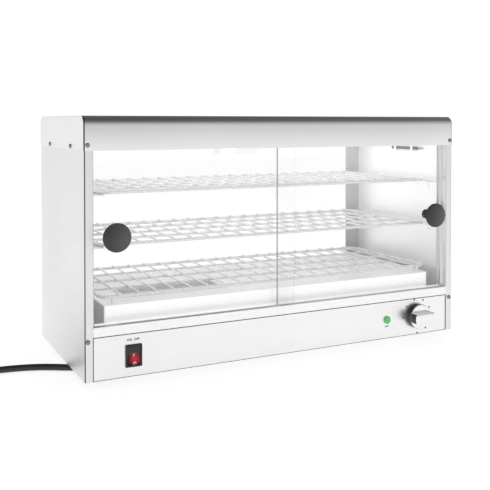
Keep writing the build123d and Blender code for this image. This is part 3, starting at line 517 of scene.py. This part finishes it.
WIRE = lift(chrome("shelf_wire", (0.85, 0.85, 0.85), 0.25, 0.3, metal=0.35), 1.0, 0.02)
FIXING = chrome("fixing_steel", (0.3, 0.3, 0.31), 0.25, 0.2)
KNOB = chrome_with_painted_dark_rim("knob_chrome")
COPPER = chrome("copper_tube", (0.72, 0.45, 0.3), 0.25, 0.3)
PROBE = chrome("probe_metal", (0.35, 0.35, 0.35), 0.3, 0.3)
BRASS = chrome("plug_brass", (0.78, 0.64, 0.36), 0.2, 0.2)
SHEATH = chrome("element_sheath", (0.12, 0.11, 0.1), 0.42, 0.4)
PULL = domed_plastic("black_pull")
NYLON = plastic("nylon", (0.82, 0.81, 0.77), 0.4, 700, 0.2)
BLACK = plastic("switch_black", (0.012, 0.012, 0.013), 0.28, 1600, 0.12)
RED = rocker_plastic("rocker_red")
GREEN = lit_plastic("pilot_green", (0.07, 0.36, 0.12), 0.22)
# The lamp holder is no lamp: its glow is painted light.
CERAMIC_PAINTED_GLOW = lit_plastic("lamp_ceramic", (0.9, 0.9, 0.88), 0.3)
SLEEVE = plastic("wire_insulation", (0.33, 0.17, 0.08), 0.5, 600, 0.3)
# Black rubber for the feet, and painted shade for the strip under the base.
RUBBER_AND_PAINTED_SHADE = plastic("foot_rubber", (0.025, 0.025, 0.026), 0.6, 800, 0.4)
CORD = plastic("cord_black", (0.012, 0.012, 0.013), 0.38, 1100, 0.25)
# Black print, and painted shade for the panel's joints.
INK_AND_PAINTED_SHADE = plastic("panel_ink_and_painted_shade", (0.012, 0.012, 0.013), 0.5, 1500, 0.1)
# Door edges: dark left-facing and pale right-facing, a painted shade and a painted light.
GLASS = sheet_glass("door_glass", (0.25, 0.26, 0.255), (0.8, 0.82, 0.81))
PANE = sheet_glass("rear_pane_glass", (0.45, 0.48, 0.46), (0.45, 0.48, 0.46))
BULB = bulb_glass("lamp_glass")

NODE_MATERIALS = {
    "top_hood": HOOD, "left_side_panel": PANEL, "right_side_panel": PANEL,
    "left_liner": WALL, "right_liner": WALL, "left_jamb": JAMB, "right_jamb": JAMB,
    "ceiling_panel": BRIGHT, "upper_door_track": TRACK, "lower_door_track": TRACK,
    "base_front_panel": FRONT, "base_rear_panel": PANEL, "bottom_plate": PANEL, "cabinet_floor": BRIGHT,
    "rear_frame": FRAME, "rear_glass": PANE, "rear_retainers": DARK_STEEL,
    "wire_shelf_top": WIRE, "wire_shelf_middle": WIRE, "wire_shelf_bottom": WIRE,
    "shelf_support_top_left": WALL, "shelf_support_top_right": WALL,
    "shelf_support_middle_left": WALL, "shelf_support_middle_right": WALL,
    "heater_deck": DECK, "water_tray": TRAY, "heating_element": SHEATH, "element_brackets": DARK_STEEL,
    "left_door_glass": GLASS, "right_door_glass": GLASS, "left_door_pull": PULL, "right_door_pull": PULL,
    "left_door_fixing": FIXING, "right_door_fixing": FIXING,
    "left_door_glides": NYLON, "right_door_glides": NYLON,
    "switch_housing": BLACK, "switch_rocker": RED, "pilot_lens": GREEN, "pilot_body": BLACK,
    "thermostat_body": BLACK, "thermostat_shaft": FIXING, "thermostat_knob": KNOB,
    "capillary_tube": COPPER, "temperature_probe": PROBE, "probe_clips": WALL,
    "lamp_bracket": BRIGHT, "lamp_holder": CERAMIC_PAINTED_GLOW, "lamp_bulb": BULB,
    "terminal_block": NYLON, "internal_wires": SLEEVE, "feet": RUBBER_AND_PAINTED_SHADE, "foot_screws": FIXING,
    "hood_screws": FIXING, "base_screws": FIXING,
    "strain_relief": CORD, "mains_cord": CORD, "cord_coil": CORD, "plug_body": CORD, "plug_pins": BRASS,
}


def dress(node, material):
    """Gives a frame's node one material."""
    slots = node.data.materials
    slots.clear()
    slots.append(material)


for node_name, node_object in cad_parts.items():
    dress(node_object, NODE_MATERIALS[node_name])


# ---------- mains lead ----------
CORD_DIAMETER = 0.010
CORD_ROUTE = [
    (-100, 152, 37), (-100, 178, 37), (-100, 208, 35), (-102, 246, 26), (-125, 280, 15), (-163, 292, 7),
    (-201, 280, 5), (-223, 246, 5), (-225, 200, 5), (-219, 120, 5), (-225, 48, 5),
    (-241, 5, 5), (-266, -17, 5), (-295, -24, 5), (-323, -16, 5), (-348, 0, 5),
    (-373, 11, 5), (-402, 18, 5), (-436, 20.5, 5), (-469, 20.5, 5),
]
COIL_X, COIL_Y = -494.0, 80.5
OUTER_RING, INNER_RING = 60.0, 50.0
LOW_TURN, HIGH_TURN = 5.0, 15.0
COIL_TURNS = 3.25
POINTS_PER_TURN = 16
PLUG_AXIS_Z = 18.0
SLEEVE_Y = COIL_Y + 27.0


def ease(value, start, end):
    """0 to 1, smoothly, as the value goes from start to end."""
    t = min(max((value - start) / (end - start), 0.0), 1.0)
    return t * t * (3 - 2 * t)


def coil_point(turn):
    """A point on the lead's coil: outer ring, inner ring, up a layer, then the outer ring above."""
    inward = ease(turn, 0.8, 1.1)
    upward = ease(turn, 1.8, 2.1)
    outward = ease(turn, 2.15, 2.45)
    radius = OUTER_RING + (INNER_RING - OUTER_RING) * (inward - outward)
    height = LOW_TURN + (HIGH_TURN - LOW_TURN) * upward
    height += (PLUG_AXIS_Z - HIGH_TURN) * ease(turn, 3.05, COIL_TURNS)
    angle = math.radians(-90 - 360 * turn)
    return (COIL_X + radius * math.cos(angle), COIL_Y + radius * math.sin(angle), height)


def cord_points():
    """The route, the coil, then a straight end inside the plug's sleeve."""
    points = [Vector(p) / 1000 for p in CORD_ROUTE]
    count = round(COIL_TURNS * POINTS_PER_TURN)
    points += [Vector(coil_point((n + 1) / POINTS_PER_TURN)) / 1000 for n in range(count)]
    points.append(Vector((COIL_X - OUTER_RING, SLEEVE_Y - 6, PLUG_AXIS_Z)) / 1000)
    points.append(Vector((COIL_X - OUTER_RING, SLEEVE_Y + 6, PLUG_AXIS_Z)) / 1000)
    return points


def make_cord():
    """The lead as one curve, in place of the frame's lead and coil."""
    curve = bpy.data.curves.new("mains_lead", "CURVE")
    curve.dimensions = "3D"
    curve.bevel_depth = CORD_DIAMETER / 2
    curve.bevel_resolution = 6
    curve.resolution_u = 8
    curve.use_fill_caps = True
    points = cord_points()
    spline = curve.splines.new("NURBS")
    spline.points.add(len(points) - 1)
    for target, point in zip(spline.points, points):
        target.co = (*point, 1.0)
    spline.order_u = 3
    spline.use_endpoint_u = True
    lead = bpy.data.objects.new("mains_lead", curve)
    scene.collection.objects.link(lead)
    curve.materials.append(CORD)
    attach(lead, "case")
    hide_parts("mains_cord", "cord_coil")
    return lead


lead = make_cord()


# ---------- printed marks, painted shade strips and small parts ---
def finished(name, build, material, body):
    """Turns a bmesh into a piece that rides on a body."""
    mesh = bpy.data.meshes.new(name)
    build.to_mesh(mesh)
    build.free()
    piece = bpy.data.objects.new(name, mesh)
    scene.collection.objects.link(piece)
    mesh.materials.append(material)
    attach(piece, body)
    return piece


def add_box(build, low, high):
    """A box between two corners, in metres."""
    matrix = Matrix.Translation((low + high) / 2) @ Matrix.Diagonal((*(high - low), 1.0))
    bmesh.ops.create_cube(build, size=1.0, matrix=matrix)


def add_dot(build, middle, radius, height):
    """A flat round dot that faces the front."""
    matrix = Matrix.Translation(middle) @ Matrix.Rotation(math.radians(90), 4, "X")
    bmesh.ops.create_cone(
        build, cap_ends=True, segments=20, radius1=radius, radius2=radius, depth=height, matrix=matrix,
    )


def add_words(build, words, height, middle):
    """Plain upright words on the front panel."""
    curve = bpy.data.curves.new("words", "FONT")
    curve.body = words
    curve.size = height
    curve.align_x = "CENTER"
    curve.align_y = "CENTER"
    curve.extrude = PRINT / 2
    curve.offset = height * 0.03
    holder = bpy.data.objects.new("words", curve)
    mesh = bpy.data.meshes.new_from_object(holder)
    mesh.transform(Matrix.Translation(middle) @ Matrix.Rotation(math.radians(90), 4, "X"))
    build.from_mesh(mesh)
    bpy.data.objects.remove(holder)
    bpy.data.curves.remove(curve)
    bpy.data.meshes.remove(mesh)


def panel_print():
    """Generic words at the switch and the pilot lamp, and the knob's scale: a dash at off, then dots."""
    build = bmesh.new()
    face = BASE_FACE - 0.06
    add_words(build, "ON  OFF", 0.0048, at(SWITCH[0] - 0.6, face, 53.0))
    add_words(build, "HEAT", 0.0034, at(PILOT_X, face, 20.2))
    off = at(KNOB_X - SCALE_RADIUS - 0.5, face, CONTROL_Z)
    half = Vector((0.0026, PRINT / 2, 0.0006))
    add_box(build, off - half, off + half)
    for n in range(SCALE_DOTS):
        angle = math.radians(180 - SCALE_STEP * (n + 1))
        across, up = SCALE_RADIUS * math.cos(angle), SCALE_RADIUS * math.sin(angle)
        add_dot(build, at(KNOB_X + across, face, CONTROL_Z + up), 0.0016, PRINT)
    return finished("panel_print", build, INK_AND_PAINTED_SHADE, "case")


def base_edge_shade():
    """The folded lip under the base on all four sides, drawn as a black strip: painted shade under the
    base.
    """
    build = bmesh.new()
    low, high = -0.4, 0.5
    front, rear, side = BASE_FACE + 0.4, -BASE_FACE - 0.4, 328.0
    add_box(build, at(-side, front, low), at(side, front + 1.0, high))
    add_box(build, at(-side, rear - 1.0, low), at(side, rear, high))
    for x in (-side, side - 1.0):
        add_box(build, at(x, front + 1.0, low), at(x + 1.0, rear - 1.0, high))
    return finished("base_edge_shade", build, RUBBER_AND_PAINTED_SHADE, "case")


def panel_seam_shade():
    """The joints round the base panel and under the sill, drawn as black strips on the face: painted shade
    in the gaps.
    """
    build = bmesh.new()
    face = BASE_FACE - 0.05
    add_box(build, at(-SEAM_X, face, 61.0), at(SEAM_X, face + 0.8, 62.5))
    for x in (-SEAM_X, SEAM_X - SEAM_WIDTH):
        add_box(build, at(x, face, 0.6), at(x + SEAM_WIDTH, face + 0.8, 61.0))
    return finished("panel_seam_shade", build, INK_AND_PAINTED_SHADE, "case")


def weld_beads(tier, height):
    """A small bead where each cross wire meets the shelf's frame."""
    build = bmesh.new()
    pitch = 2 * SHELF_HALF_X / (CROSS_COUNT + 1)
    for n in range(CROSS_COUNT):
        x = -SHELF_HALF_X + pitch * (n + 1)
        for y in (SHELF_FRONT, SHELF_REAR):
            size = 0.0017 * random.uniform(0.85, 1.1)
            matrix = Matrix.Translation(at(x, y, height + 2.0)) @ Matrix.Diagonal((1.25, 1.0, 0.6, 1.0))
            bmesh.ops.create_icosphere(build, subdivisions=2, radius=size, matrix=matrix)
    return finished(f"weld_beads_{tier}", build, WIRE, f"{tier}_shelf")


def ring_about_y(build, middle, radius, thick, steps=28, sides=8):
    """A torus whose axis runs front to back."""
    rings = []
    for n in range(steps):
        around = 2 * math.pi * n / steps
        ring = []
        for m in range(sides):
            across = 2 * math.pi * m / sides
            out = radius + thick * math.cos(across)
            point = Vector((out * math.cos(around), thick * math.sin(across), out * math.sin(around)))
            ring.append(build.verts.new(middle + point))
        rings.append(ring)
    for first, second in zip(rings, rings[1:] + rings[:1]):
        for m in range(sides):
            build.faces.new((first[m], second[m], second[(m + 1) % sides], first[(m + 1) % sides]))


def relief_ribs():
    """The rings of the strain relief's flexible sleeve."""
    build = bmesh.new()
    for n in range(7):
        y = 145.0 + 3.2 * n
        ring_about_y(build, at(RELIEF[0], y, RELIEF[1]), 0.0078 - 0.00022 * n, 0.0008)
    return finished("relief_ribs", build, CORD, "case")


WIRE_SECTION = ((0, 2e-4), (2e-4, -1e-4), (-2e-4, -1e-4))


def lamp_filament():
    """The lamp's coiled wire filament."""
    build = bmesh.new()
    start, end = at(-12, 0, LAMP_Z), at(6, 0, LAMP_Z)
    turns, steps = 10, 12
    last = None
    for n in range(turns * steps):
        along = n / (turns * steps)
        angle = 2 * math.pi * n / steps
        point = start.lerp(end, along) + Vector((0, 0.0012 * math.cos(angle), 0.0012 * math.sin(angle)))
        corners = [build.verts.new(point + Vector((0, dy, dz))) for dy, dz in WIRE_SECTION]
        if last:
            for m in range(3):
                build.faces.new((last[m], corners[m], corners[(m + 1) % 3], last[(m + 1) % 3]))
        last = corners
    return finished("lamp_filament", build, PROBE, "case")


panel_print()
base_edge_shade()
panel_seam_shade()
relief_ribs()
lamp_filament()
for tier, height in SHELVES.items():
    weld_beads(tier, height)


# ---------- studio ----------
def make_floor():
    """A plain pale floor that fades into the background."""
    mesh = bpy.data.meshes.new("floor")
    build = bmesh.new()
    bmesh.ops.create_grid(build, x_segments=4, y_segments=4, size=6.0)
    build.to_mesh(mesh)
    build.free()
    floor = bpy.data.objects.new("floor", mesh)
    scene.collection.objects.link(floor)
    material, tree, bsdf = shader("pale_floor")
    cloud = noise(tree, (3, 3, 3), 2.0, 0.5)
    tint = blend_colour(tree, cloud, (0.35, 0.35, 0.35), (0.36, 0.36, 0.36))
    tree.links.new(tint, bsdf.inputs["Base Color"])
    bsdf.inputs["Roughness"].default_value = 0.9
    bsdf.inputs["Specular IOR Level"].default_value = 0.0
    bsdf.inputs["Emission Color"].default_value = (1.0, 1.0, 1.0, 1.0)
    bsdf.inputs["Emission Strength"].default_value = 0.74
    mesh.materials.append(material)
    return floor


def ramp(tree, value, stops):
    """A grey level that follows a value through the given stops."""
    node = tree.nodes.new("ShaderNodeValToRGB")
    points = node.color_ramp.elements
    while len(points) < len(stops):
        points.new(0.5)
    for point, (place, level) in zip(points, stops):
        point.position = place
        point.color = (level, level, level, 1.0)
    tree.links.new(value, node.inputs["Fac"])
    return node.outputs["Color"]


FRONT_SKY = ((0.0, 0.97), (0.17, 0.58), (0.5, 0.42), (0.66, 0.17), (0.87, 0.1), (1.0, 0.05))
REAR_SKY = ((0.0, 1.0), (0.33, 1.0), (0.55, 0.14), (1.0, 0.08))


def make_world():
    """A white cyclorama: plain white to the eye, and darker overhead for the metal to mirror."""
    world = bpy.data.worlds.new("studio")
    scene.world = world
    world.use_nodes = True
    tree = world.node_tree
    tree.nodes.clear()
    out = tree.nodes.new("ShaderNodeOutputWorld")
    where = tree.nodes.new("ShaderNodeTexCoord")
    split = tree.nodes.new("ShaderNodeSeparateXYZ")
    tree.links.new(where.outputs["Generated"], split.inputs[0])
    front = ramp(tree, split.outputs["Z"], FRONT_SKY)
    rear = ramp(tree, split.outputs["Z"], REAR_SKY)
    backness = spread(tree, split.outputs["Y"], 0.0, 1.0, -0.1, 0.35)
    sky = blend_colour(tree, backness, front, rear)
    path = tree.nodes.new("ShaderNodeLightPath")
    seen, lit, mirrored = [tree.nodes.new("ShaderNodeBackground") for _ in range(3)]
    for node, strength in ((seen, 1.05), (lit, 0.75), (mirrored, 1.0)):
        node.inputs["Color"].default_value = (1, 1, 1, 1)
        node.inputs["Strength"].default_value = strength
    tree.links.new(sky, mirrored.inputs["Color"])
    lighting = mix_shaders(tree, path.outputs["Is Glossy Ray"], lit.outputs[0], mirrored.outputs[0])
    whole = mix_shaders(tree, path.outputs["Is Camera Ray"], lighting, seen.outputs[0])
    tree.links.new(whole, out.inputs["Surface"])


def soft_light(name, place, aim, size, power):
    """A softbox that lights the case without showing in the metal."""
    data = bpy.data.lights.new(name, "AREA")
    data.shape = "RECTANGLE"
    data.size, data.size_y = size
    data.energy = power
    light = bpy.data.objects.new(name, data)
    scene.collection.objects.link(light)
    light.location = place
    light.rotation_mode = "QUATERNION"
    light.rotation_quaternion = (Vector(aim) - Vector(place)).to_track_quat("-Z", "Y")
    light.visible_glossy = False
    return light


make_floor()
make_world()
soft_light("key", (-1.2, -2.4, 2.4), (0, 0, 0.1), (1.6, 1.2), 14)
soft_light("top", (0.3, 0.4, 2.8), (0, 0, 0.1), (2.2, 1.6), 12)
inside_light = soft_light("inside", at(0, 0, 340), at(0, 0, 100), (0.56, 0.2), 0.55)
inside_light.visible_camera = False
scene.view_settings.view_transform = "Standard"
